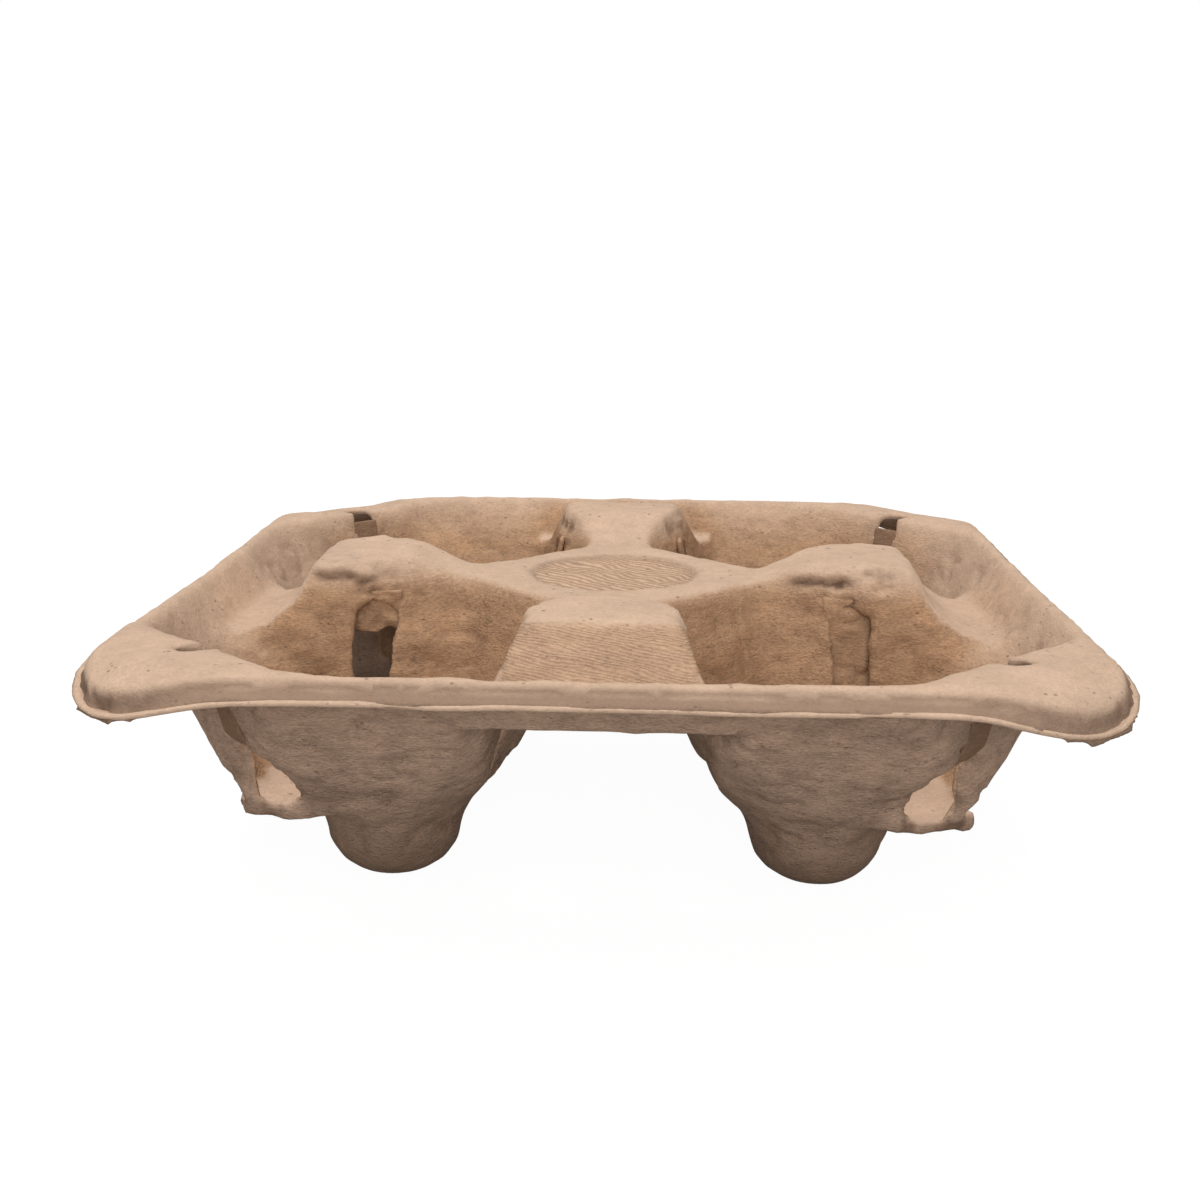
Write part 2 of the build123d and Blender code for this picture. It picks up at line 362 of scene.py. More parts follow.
def bell(x, width):
    """1 at zero, falling off on both sides: e to the minus square of x over the width."""
    return np.exp(-((x / width) ** 2))


x, y, z = points.T
over_line = z - (HUMP - LINE_DOWN + waves(points * (1, 0, 0), LINE_WANDER))
span = sum(band(x - side * VENT, *LINE_SPAN) for side in SIDES) * band(-y, *LINE_FACE)
fold_line = span * bell(over_line, LINE_WIDTH)
fold_lip = span * bell(over_line - LIP_UP, LIP_WIDTH)
torn_lug = step(np.abs(x) + np.abs(y), *TORN_FROM) * falls(z, *TORN_TOP)
lug_tears = waves(points, LUMPS)
print("points on fold lines:", np.count_nonzero(fold_line > 0.1))
print("points on torn lugs:", np.count_nonzero(torn_lug > 0.1))

# %% [markdown]
# ## Push the roughness out
# All these heights are added up, in millimetres, and each point moves along the direction that it faces. The
# soles of the feet stay flat. Last, the round disc in the middle of the crossing is sunk a little.

# %% Rough sheet
PLEAT, PLEAT_SUNK = 1.7, 0.3       # height of the pleats, and how far crumples lie below the sheet
WRINKLE = 0.7                      # depth of the wrinkles
GROOVE = 0.9                       # depth of the fold lines and height of their lips
TEAR = 0.85                        # height of the torn lumps
FLAT_SOLE = (0.3, 4.0)             # no ripple below the first height, all of it over the second
DISC, DISC_SUNK = 20.0, 0.7        # radius and depth of the disc
DISC_EDGE = 0.7                    # half the width of its slope
DISC_LEVEL = (50.0, 55.0)          # the top of the crossing lies above this
offset = ripple * (1 + WALL_RIPPLE * walls) * step(points[:, 2], *FLAT_SOLE)
offset += crumple * (PLEAT * creases - PLEAT_SUNK) - WRINKLE * wrinkle
offset += GROOVE * fold_lip - GROOVE * fold_line + TEAR * torn_lug * lug_tears
points = points + facing * offset[:, None]
from_middle = np.hypot(points[:, 0], points[:, 1])
round_disc = falls(from_middle, DISC - DISC_EDGE, DISC + DISC_EDGE)
points[:, 2] -= DISC_SUNK * round_disc * step(points[:, 2], *DISC_LEVEL)
points[:, 2] = np.maximum(points[:, 2], 0.0)
place(sheet.data, points)
print("roughness from", round(offset.min(), 2), "to", round(offset.max(), 2), "mm")

# %% [markdown]
# ## Colour by place: pocket brown and painted shade
# Pulp is browner down in the pockets and greyer outside, and shade falls into the pockets and below the lip.
# A painted texture would need a layout of the whole sheet. Here numbers on the points say where a colour
# lies, and the finish reads them. The first is the depth in a pocket: partly the browner pulp of its walls,
# partly painted shade. It grows faster by the ridges, and slower at the left and right, whose walls lean to
# the light and are painted lighter.

# %% Depth in the pockets: brown and painted shade
POCKET = 48.0                       # middle of a pocket from the middle of the carrier
INSIDE = (0.05, 0.35)               # share of the facing that points to the pocket's middle
FLAT_TOP = (0.75, 0.95)             # level faces aren't walls
DEPTH_FROM = LIP + 2.0              # colour deepens from this height down
DEPTH_OVER, RIDGE_LESS = 17.0, 9.0  # over this height, and this much less by a ridge
BY_RIDGE = (22.0, 34.0)             # distance from a ridge's middle line
SIDE_WALL, SIDE_LIGHT = (80.0, 94.0), 0.85  # the left and right walls stay lighter by this share: painted light, as they lean toward the lamps
x, y, z = points.T
wide, deep = np.abs(x), np.abs(y)
facing = normals_of(sheet.data)
upward = facing[:, 2]
arm_x, arm_y = wide - POCKET, deep - POCKET
reach = np.maximum(np.hypot(arm_x, arm_y), 1.0)
inward = -(arm_x * np.sign(x) * facing[:, 0] + arm_y * np.sign(y) * facing[:, 1]) / reach
inside = step(inward, *INSIDE) * falls(upward, *FLAT_TOP)
by_ridge = falls(np.minimum(wide, deep), *BY_RIDGE)
below = (DEPTH_FROM - z) / (DEPTH_OVER - RIDGE_LESS * by_ridge)
# painted shade: darker down the pocket walls, partly over their browner pulp; painted light on the side walls
pocket_tone_and_shade = inside * step(below, 0.0, 1.0) * (1 - SIDE_LIGHT * step(wide, *SIDE_WALL))
print("in the pockets:", round(100 * np.mean(pocket_tone_and_shade > 0.5)), "% of the points")

# %% [markdown]
# ## Colour by place: painted shade outside
# The second number is painted shade: it says how far a point lies on the outside below the lip, which keeps
# the overhead light off the walls, and it covers faces that look down; with it comes the outside's greyer
# brown. The lip bends and sags, so its height at each place comes from the two functions above. The steep
# face of the lip is marked too, because it gets less of the overhead light and is painted darker than the
# lip's top.

# %% Outside and the face of the lip: painted shade
OUTSIDE = (-0.1, 0.25)                           # share of the facing that points out of the pocket
OUTSIDE_UP = (0.3, 0.75)                         # and the outside doesn't face up
DOWNWARD = (0.5, 0.9)                            # faces that look down get the painted shade anyway
LIP_SHADES = ((0.6, 0.5, 3.0), (0.4, 4.5, 4.0))  # share, start below the lip and height of each step of painted shade
CORNER_CUT = 30.0                                # the corners' edge lies this much farther along the diagonal
FACE_FROM = (HALF - 6.5, HALF - 3.5)             # where the face of the lip begins
FACE_STEEP, FACE_LOW = (0.55, 0.9), (2.2, 3.4)   # it is steep, or lies low
FACE_START = (0.3, 2.2)                          # height below the lip over which its tone comes
outside = step(-inward, *OUTSIDE) * falls(upward, *OUTSIDE_UP)
under_lip = LIP - corner_drop(x, y) - side_sag(x, y) - z
# painted shade below the lip and on faces that look down, mixed with the outside's greyer brown
below_lip = sum(share * step(under_lip - start, 0.0, height) for share, start, height in LIP_SHADES)
under_lip_shade = np.maximum(outside * below_lip, step(-upward, *DOWNWARD))
edge = np.maximum(np.maximum(wide, deep), diagonal(x, y) - CORNER_CUT)
steep = np.maximum(falls(upward, *FACE_STEEP), step(under_lip, *FACE_LOW))
lip_face = step(edge, *FACE_FROM) * steep * step(under_lip, *FACE_START)
print("outside:", round(100 * np.mean(under_lip_shade > 0.5)), "% of the points")

# %% [markdown]
# ## Colour by place: screen marks
# The third number says where the forming screen left its lines: on the disc in the middle and, fainter, on
# the sloping face of the front block. Both places are a little browner as well.

# %% Screen marks on the disc and the front block
BLOCK_HALF, BLOCK_FRONT, BLOCK_BACK = 20.0, -97.0, -70.0    # half the width of the face, and its two ends
BLOCK_UP = ((0.1, 0.3), (0.8, 0.95))                        # it slopes
DISC_UP = (0.7, 0.9)                                        # the disc is level
BLOCK_SCREEN, BLOCK_BROWN, DISC_BROWN = 0.3, 0.55, 0.4
on_block = (wide < BLOCK_HALF) * (y < BLOCK_BACK) * (y > BLOCK_FRONT)
block_face = on_block * band(upward, *BLOCK_UP)
disc_top = round_disc * step(upward, *DISC_UP)
screen = np.maximum(disc_top, BLOCK_SCREEN * block_face)
on_disc = disc_top * step(z, *DISC_LEVEL)
pocket_tone_and_shade = np.maximum(pocket_tone_and_shade, np.maximum(BLOCK_BROWN * block_face, DISC_BROWN * on_disc))
print("screen marks:", round(100 * np.mean(screen > 0.1)), "% of the points")

# %% [markdown]
# ## Colour by place: painted shade in creases
# The fourth number is painted shade: it darkens the bottom of the crumples, fold lines and wrinkles, the
# slope round the disc, the hollows of the torn lugs, the feet and the face of the lip. The shares are added
# and cut off.

# %% Creases: painted shade
PLEAT_DARK, PLEAT_LOW = 1.2, (-0.25, 0.35)   # share, and where a pleat counts as low
RING_DARK, RING_OUT, RING_WIDTH = 0.35, 0.4, 0.9    # share, place past the disc's edge, and width
RING_UP = (0.5, 0.8)                         # the slope faces up
FOOT_DARK, FOOT_TOP = 0.8, 34.0              # the feet darken from this height down
FACE_DARK, LINE_DARK, TEAR_DARK = 0.66, 0.9, 0.6
TEAR_LOW = (-0.1, 0.5)                       # where a lump counts as low
WRINKLE_DARK, WRINKLE_INSIDE = 0.3, 0.6      # share, and how much of it inside
DARKEST = 0.95
disc_ring = bell(from_middle - DISC - RING_OUT, RING_WIDTH) * step(upward, *RING_UP)
# painted shade on the outside of the feet and on the steep face of the lip
foot_and_lip_face_shade = FOOT_DARK * outside * falls(z, 0.0, FOOT_TOP) + FACE_DARK * lip_face
lug_hollow_shade = torn_lug * outside * step(-lug_tears, *TEAR_LOW)
# painted shade in low pleats, round the disc, in fold lines, lug hollows and wrinkles
crease_shade = PLEAT_DARK * crumple * step(-creases, *PLEAT_LOW) + RING_DARK * disc_ring + foot_and_lip_face_shade
crease_shade += LINE_DARK * fold_line + TEAR_DARK * lug_hollow_shade
crease_shade += WRINKLE_DARK * wrinkle * np.maximum(outside, WRINKLE_INSIDE * inside)
crease_shade = np.clip(crease_shade, 0, DARKEST)
print("mean crease:", round(crease_shade.mean(), 3))

# %% [markdown]
# ## Numbers onto the sheet
# The four numbers become attributes of the points, which a material can read by name. A live Decimate
# modifier then takes out faces that lie flat, so that the sheet stays light without losing its creases.

# %% Tones and fewer faces
KEPT = 0.78   # share of the faces


def tone(piece, name, values):
    """Writes one number per point onto a piece, under a name that its finish reads."""
    layer = piece.data.attributes.new(name, "FLOAT", "POINT")
    layer.data.foreach_set("value", np.asarray(values, dtype=np.float32))


for name, values in (("pocket_tone_and_shade", pocket_tone_and_shade), ("under_lip_shade", under_lip_shade), ("screen", screen), ("crease_shade", crease_shade)):
    tone(sheet, name, values)
sheet.data.polygons.foreach_set("use_smooth", np.ones(len(sheet.data.polygons), dtype=bool))
lighter = sheet.modifiers.new("fewer faces", "DECIMATE")
lighter.ratio = KEPT
print("tones set on", len(points), "points")

# %% [markdown]
# ## The trimmed edge
# Round the foot of the rim the press leaves a thin flash, which a knife trims and tears. It follows the rim,
# bent down at the corners, and its outer side is ragged. A thin profile carried along the rim's outline gives
# it, because only the reach of the profile has to change from place to place.

# %% Outline of the rim
FLASH_IN = 1.6         # the flash starts this far inside the trimmed edge
FLASH_CORNER = 30.4    # radius of its corners
FLASH_STEPS = 1400


def outline(half_side, radius, count):
    """Even points of a rounded square and their outward directions: one quarter turned four times."""
    straight, arc = half_side - radius, radius * np.pi / 2
    run = np.arange(count) * 4 * (2 * straight + arc) / count
    quarter, run = np.divmod(run, 2 * straight + arc)
    turn = np.clip((run - straight) / radius, 0, np.pi / 2)
    before, after = np.minimum(run, straight), np.maximum(run - straight - arc, 0)
    place_x = straight + radius * np.cos(turn) - after
    place_y = before + radius * np.sin(turn)
    c, s = np.cos(quarter * np.pi / 2), np.sin(quarter * np.pi / 2)
    points = np.stack([c * place_x - s * place_y, s * place_x + c * place_y], axis=1)
    outward = np.stack([np.cos(quarter * np.pi / 2 + turn), np.sin(quarter * np.pi / 2 + turn)], axis=1)
    return points, outward


rim, outward = outline(HALF - FLASH_IN, FLASH_CORNER, FLASH_STEPS)
print("outline of", FLASH_STEPS, "steps, each", round(np.linalg.norm(rim[1] - rim[0]), 2), "mm")

# %% Ragged flash along the rim
FLASH_DOWN = 5.0                                              # below the lip
PROFILE = np.array([(-1.6, 0.75), (0.55, 0.55), (1.0, 0.05), (0.55, -0.55), (-1.6, -0.75)])
PROFILE_UNDER_SHADE = [0.0, 0.0, 0.0, 0.5, 1.0]                     # how much painted shade each point of it takes: its underside is shaded
RAGGED = ((0.5, 3.0, 11), (0.5, 9.0, 12), (0.35, 1.3, 13))    # height, size and seed of each wave
REACH, REACH_WAVE = 1.4, 0.34                                 # mean reach, and how the waves change it
LEVEL_WAVE = ((0.35, 14.0, 14),)


def piece_from(name, points, faces):
    """Smooth-shaded object at the origin, from points in mm and four-sided faces."""
    mesh = bpy.data.meshes.new(name)
    mesh.from_pydata((points * MM).tolist(), [], faces.tolist())
    mesh.polygons.foreach_set("use_smooth", np.ones(len(faces), dtype=bool))
    piece = bpy.data.objects.new(name, mesh)
    bpy.context.scene.collection.objects.link(piece)
    return piece


at = np.column_stack([rim, np.zeros(FLASH_STEPS)])
ragged = REACH + REACH_WAVE * waves(at, RAGGED)
level = LIP - FLASH_DOWN - corner_drop(*rim.T) - side_sag(*rim.T) + waves(at, LEVEL_WAVE)
reach = np.maximum(PROFILE[:, 0], 0)[None, :] * ragged[:, None] + np.minimum(PROFILE[:, 0], 0)
ring = np.empty((FLASH_STEPS, len(PROFILE), 3))
ring[:, :, :2] = rim[:, None, :] + outward[:, None, :] * reach[:, :, None]
ring[:, :, 2] = level[:, None] + PROFILE[None, :, 1]
n = len(PROFILE)
i, k = np.meshgrid(np.arange(FLASH_STEPS), np.arange(n), indexing="ij")
j, m = (i + 1) % FLASH_STEPS, (k + 1) % n
ring_faces = np.stack([i * n + k, i * n + m, j * n + m, j * n + k], axis=-1).reshape(-1, 4)
flash = piece_from("rim_flash", ring.reshape(-1, 3), ring_faces)
# painted shade on the flash's underside
tone(flash, "under_lip_shade", np.tile(PROFILE_UNDER_SHADE, FLASH_STEPS))
print("flash out to", round(np.abs(ring[:, :, :2]).max(), 1), "mm")

# %% [markdown]
# ## Torn flaps and shade strips
# The tool that opens a ridge slot doesn't cut the pulp out. It tears it down on three sides and pushes it in,
# so a crumpled flap hangs behind the head of each slot. In each corner slot a narrow dark strip is painted
# shade as a sheet: it stands in for the shade seen through the slot. Both are the same small grid: across
# the slot and down it, swung inward, pleated, and ragged at its sides.

# %% One torn flap as a grid
FLAP_HALF, FLAP_TAPER = 6.6, 0.7     # half the width at the head, and how much narrower at the foot
FLAP_UP = 2.5                        # starts this far above the slot's head
FLAP_COLUMNS, FLAP_ROWS = 15, 1.2    # points across, and points for each mm down
HEAD_IN, SWING, CURL = 1.2, 3.0, 0.8    # hangs in at its head, farther in at its foot, and at its sides
PLEATS_IN, HEAD_PLEATS = 1.1, 0.4    # height of its pleats, and their share at the head
SIDE_TORN, FOOT_TORN = 0.2, 0.12     # how ragged its sides and its foot are
FLAP_PLEATS, SIDE_WAVES, FOOT_WAVES = 4.0, 2.5, 3.0    # sizes of its noises
NOISE_HALF, NOISE_APART = 6.0, 17.0  # half the flap's width in the noise, and the gap between two flaps


def torn_flap(length, seed):
    """Across, inward and down on a grid, in mm: swung in with v, curled with u squared, and pleated."""
    rows = 2 + int(length * FLAP_ROWS)
    u, v = np.meshgrid(np.linspace(-1, 1, FLAP_COLUMNS), np.linspace(0, 1, rows), indexing="ij")
    layer = np.full(u.size, seed * NOISE_APART)
    spot = np.stack([u.ravel() * NOISE_HALF, v.ravel() * length, layer], axis=1)
    pleat = pleats(spot, FLAP_PLEATS, seed).reshape(u.shape)
    side = noise(spot, SIDE_WAVES, seed + 1).reshape(u.shape)
    foot = noise(spot, FOOT_WAVES, seed + 2).reshape(u.shape)
    across = u * (FLAP_HALF - FLAP_TAPER * v) * (1 + SIDE_TORN * v * side)
    pleated = PLEATS_IN * pleat * (HEAD_PLEATS + (1 - HEAD_PLEATS) * v)
    inward = HEAD_IN + SWING * v + pleated + CURL * u**2
    down = v * length * (1 + FOOT_TORN * foot) - FLAP_UP
    return across, inward, down


print("a flap 10 mm long has", torn_flap(10.0, 1)[0].size, "points")

# %% Flaps behind the ridge slots
SLOT_HEAD = 55.3                        # height of the head of the ridge slots
WALL_AT, WALL_SLOPE = 16.0, 0.26        # the ridge's wall at the lip, from its middle line, and its draft
LONG_FLAP = 27.0                        # length in one slot of each side ridge
BACK_FLAP, FRONT_FLAP = 14.0, 9.0       # lengths in the other slots at the back, and at the front at least
BACK_TUCK = 0.3                         # flaps of the back ridge swing in this much only
FLAP_SEED = 20


def ridge_flap(number, sx, sy, on_side):
    """Places of a flap on a ridge's sloping wall, mirrored into its quarter, and if that turns it."""
    length = BACK_FLAP if sy > 0 else FRONT_FLAP + number % 3
    if on_side and sx != sy:
        length = LONG_FLAP
    across, inward, down = torn_flap(length, FLAP_SEED + number)
    swing = BACK_TUCK if sy > 0 and not on_side else 1.0
    along = VENT + across
    off = WALL_AT + (LIP - SLOT_HEAD + down) * WALL_SLOPE - swing * inward
    where = (along * sx, off * sy) if on_side else (off * sx, along * sy)
    return np.stack([*where, SLOT_HEAD - down], axis=-1), (sx * sy > 0) != on_side


quarters = [(sx, sy) for sx in SIDES for sy in SIDES]
ridge_slots = [(*quarter, on_side) for quarter in quarters for on_side in (True, False)]
grids = [ridge_flap(number, *slot) for number, slot in enumerate(ridge_slots, 1)]
print("flaps behind the ridge slots:", len(grids))

# %% Dark strips in the corner slots, as painted shade
STRIP = 19.0                               # length
STRIP_HEAD = 54.5                          # height of the head of the corner slots
CORNER_WALL, CORNER_LEVEL = 107.6, 42.0    # the corner's wall along the diagonal, at this height
CORNER_SLOPE = 0.3                         # its draft
TUCK_BELOW, TUCK = 41.0, 0.7               # below this height the strip turns inward
STRIP_WIDTH, STRIP_PLEAT = 0.62, 0.2       # shares of the flap's width and of its inward swing
STRIP_MEAN = 3.0                           # that swing's mean


def corner_shade_strip(number, sx, sy):
    """Places of a dark strip, painted shade in a corner slot, on the corner's sloping wall, mirrored into its
    quarter, and if that turns it.
    """
    across, inward, down = torn_flap(STRIP + number % 3, FLAP_SEED + number)
    height = STRIP_HEAD - down
    out = CORNER_WALL + CORNER_SLOPE * (height - CORNER_LEVEL) + STRIP_PLEAT * (inward - STRIP_MEAN)
    out -= TUCK * np.maximum(TUCK_BELOW - height, 0)
    on_x = (out + STRIP_WIDTH * across) / np.sqrt(2)
    on_y = (out - STRIP_WIDTH * across) / np.sqrt(2)
    return np.stack([on_x * sx, on_y * sy, height], axis=-1), sx * sy < 0


grids += [corner_shade_strip(number, *quarter) for number, quarter in enumerate(quarters, len(ridge_slots) + 1)]
print("with strips in the corner slots:", len(grids))

# %% All flaps as one piece
FLAP_BROWN_AND_SHADE, STRIP_SHADE = 0.9, 0.6    # tones: the torn flaps in pocket brown with its painted shade, the corner strips in painted shade
FLAP_THICK = 1.3 * MM


def grid_faces(rows, columns, first):
    """Four-sided faces of a grid of points that starts at a point number."""
    i, k = np.meshgrid(np.arange(rows - 1), np.arange(columns - 1), indexing="ij")
    corner = first + i * columns + k
    return np.stack([corner, corner + columns, corner + columns + 1, corner + 1], axis=-1).reshape(-1, 4)


sizes = [grid[..., 0].size for grid, _ in grids]
starts = np.cumsum([0, *sizes])
flap_faces = []
for (grid, turned), first in zip(grids, starts):
    quads = grid_faces(*grid.shape[:2], first)
    flap_faces.append(quads[:, ::-1] if turned else quads)
flap_points = np.concatenate([grid.reshape(-1, 3) for grid, _ in grids])
flaps = piece_from("torn_flaps_and_shade_strips", flap_points, np.concatenate(flap_faces))
is_shade_strip = np.arange(len(flap_points)) >= starts[len(ridge_slots)]
# the flaps take the pocket brown with its painted shade; the corner strips are darkened as painted shade
tone(flaps, "pocket_tone_and_shade", np.full(len(flap_points), FLAP_BROWN_AND_SHADE))
tone(flaps, "crease_shade", np.where(is_shade_strip, STRIP_SHADE, 0.0))
thick = flaps.modifiers.new("pulp thickness", "SOLIDIFY")
thick.thickness = FLAP_THICK
thick.offset = 0.0
smooth = flaps.modifiers.new("soft", "SUBSURF")
smooth.levels = smooth.render_levels = 1
print("flaps and strips:", len(grids), "with", len(flap_points), "points")

# %% [markdown]
# ## Short ways to add nodes
# A finish is a tree of nodes. The same few kinds come again and again, so each has a function that adds one
# node, fills its inputs and returns its output. An input takes another node's output or a plain value.

# %% Node helpers
def fill(tree, socket, value):
    """Links an output to the socket, or writes a plain value into it."""
    if isinstance(value, bpy.types.NodeSocket):
        tree.links.new(value, socket)
    else:
        socket.default_value = value


def node(tree, kind, **inputs):
    """New shader node with its named inputs filled; an underscore stands for a space."""
    made = tree.nodes.new("ShaderNode" + kind)
    for name, value in inputs.items():
        fill(tree, made.inputs[name.replace("_", " ")], value)
    return made


def arithmetic(tree, operation, *values):
    """Output of a Math node with that operation."""
    made = node(tree, "Math")
    made.operation = operation
    for socket, value in zip(made.inputs, values):
        fill(tree, socket, value)
    return made.outputs[0]


def ramp(tree, value, source, target):
    """Output of a Map Range node: one range carried straight onto another, and held at its ends."""
    made = node(tree, "MapRange", Value=value, From_Min=source[0], From_Max=source[1])
    fill(tree, made.inputs["To Min"], target[0])
    fill(tree, made.inputs["To Max"], target[1])
    return made.outputs["Result"]


print("node helpers:", ", ".join(helper.__name__ for helper in (fill, node, arithmetic, ramp)))

# %% [markdown]
# ## The fibre finish
# Close up, pulp is a felt of short fibres with dark flecks of old print in it, fine cracks and, in places,
# the lines of the forming screen. Noises of different size give the felt, cells cut off at a small distance
# give the flecks, the line where a noise passes one half gives the cracks, and a wave gives the screen.
# Fibres lie level on the walls, so the pattern is squeezed in height. As a node group, it can be used again.

# %% Felted fibre as a node group
LYING = (1.0, 1.0, 1.9)                # squeezes the felt in height
COARSE, MIDDLE, FINE = (70.0, 3.0, 0.6), (260.0, 5.0, 0.68), (1100.0, 3.0, 0.7)    # scale, detail, roughness
TINT_MIDDLE, TINT_FINE = 0.5, 0.4      # share of the middle felt over the coarse, then of the fine
BUMP_FINE = 0.42                       # share of the fine felt over the middle one in the bump
SCREEN_TURN = (0.8, 1.0, 4.0)          # sets the screen's lines oblique
SCREEN_LINES = {"Scale": 230.0, "Distortion": 15.0, "Detail": 3.0, "Detail_Scale": 0.35}
SCREEN_HEIGHT, SCREEN_TINT = 0.42, 0.3    # share of the screen's lines in the bump and in the tint
FLECK_SCALE, FLECK_EDGE = 420.0, (0.08, 0.26)    # cells, and the distance at which a fleck ends
FLECK_PATCH, FLECK_WHERE, FLECK_MOST = (230.0, 2.0, 0.5), (0.54, 0.64), 0.8    # felt, its range, and strength
CRACK, CRACK_MIDDLE, CRACK_HALF = (150.0, 3.0, 0.55), 0.5, 0.011    # felt, the line in it, and half its width
CRACK_PATCH, CRACK_WHERE, CRACK_MOST = (120.0, 1.0, 0.5), (0.44, 0.62), 0.42


def fibre_group():
    """Tint, flecks, cracks and height of felted fibre, from a place and the screen's share."""
    group = bpy.data.node_groups.new("Felted fibre", "ShaderNodeTree")
    group.interface.new_socket("Place", in_out="INPUT", socket_type="NodeSocketVector")
    group.interface.new_socket("Screen", in_out="INPUT", socket_type="NodeSocketFloat")
    for name in ("Tint", "Fleck", "Crack", "Height"):
        group.interface.new_socket(name, in_out="OUTPUT", socket_type="NodeSocketFloat")
    start, end = group.nodes.new("NodeGroupInput"), group.nodes.new("NodeGroupOutput")
    spot, on_screen = start.outputs["Place"], start.outputs["Screen"]
    lying = node(group, "Mapping", Vector=spot, Scale=LYING).outputs[0]

    def felt(scale, detail, rough):
        made = node(group, "TexNoise", Vector=lying, Scale=scale, Detail=detail, Roughness=rough)
        return made.outputs["Fac"]

    def blend(a, b, share):
        return node(group, "Mix", Factor=share, A=a, B=b).outputs["Result"]

    coarse, middle, fine = felt(*COARSE), felt(*MIDDLE), felt(*FINE)
    turned = node(group, "Mapping", Vector=spot, Scale=SCREEN_TURN).outputs[0]
    wave = node(group, "TexWave", Vector=turned, **SCREEN_LINES)
    wave.wave_type = "BANDS"
    wave.bands_direction = "DIAGONAL"
    lines = wave.outputs["Fac"]
    tint_share = ramp(group, on_screen, (0.0, 1.0), (0.0, SCREEN_TINT))
    height_share = ramp(group, on_screen, (0.0, 1.0), (0.0, SCREEN_HEIGHT))
    tint = blend(blend(coarse, middle, TINT_MIDDLE), fine, TINT_FINE)
    fill(group, end.inputs["Tint"], blend(tint, lines, tint_share))
    fill(group, end.inputs["Height"], blend(blend(middle, fine, BUMP_FINE), lines, height_share))
    cells = node(group, "TexVoronoi", Vector=lying, Scale=FLECK_SCALE).outputs["Distance"]
    fleck = ramp(group, cells, FLECK_EDGE, (1.0, 0.0))
    fleck_patch = ramp(group, felt(*FLECK_PATCH), FLECK_WHERE, (0.0, FLECK_MOST))
    fill(group, end.inputs["Fleck"], arithmetic(group, "MULTIPLY", fleck, fleck_patch))
    crack = arithmetic(group, "COMPARE", felt(*CRACK), CRACK_MIDDLE, CRACK_HALF)
    crack_patch = ramp(group, felt(*CRACK_PATCH), CRACK_WHERE, (0.0, CRACK_MOST))
    fill(group, end.inputs["Crack"], arithmetic(group, "MULTIPLY", crack, crack_patch))
    return group


fibre_nodes = fibre_group()
print("felted fibre:", len(fibre_nodes.nodes), "nodes")

# %% [markdown]
# ## Pulp as a material
# The colour goes from a light tan on top to a warm brown in the pockets and a greyer brown outside, and both
# browns carry painted shade as well. The felt lightens and darkens it, more so in the pockets and outside,
# which are rougher than the top. Flecks dot it, cracks line it, painted shade darkens the creases, and a matt
# surface with a strong bump scatters the light.

# %% Pulp material
# the pocket and outer browns are partly the pulp's colour and partly painted shade; the crease brown below is
# painted shade
TOP_TAN, POCKET_BROWN_AND_SHADE, OUTER_BROWN_AND_SHADE = (0.58, 0.41, 0.295), (0.465, 0.282, 0.166), (0.515, 0.355, 0.26)
FLECK_BROWN, CREASE_SHADE_BROWN = (0.16, 0.10, 0.07, 1), (0.17, 0.105, 0.07, 1)
FELT_RANGE, FELT_GREY = (0.32, 0.68), (0.5, 1.4)    # the tint's usual range, and the greys that it becomes
SMOOTH_SHARE = 0.45                                 # how much of the felt shows on the smooth top
PULP_ROUGH, PULP_GLOSS = 0.95, 0.12
BUMP, BUMP_STRENGTH = 1.7 * MM, 0.8
COLOUR_A, COLOUR_B, COLOUR_OUT = 6, 7, 2            # the Mix node's sockets for colours


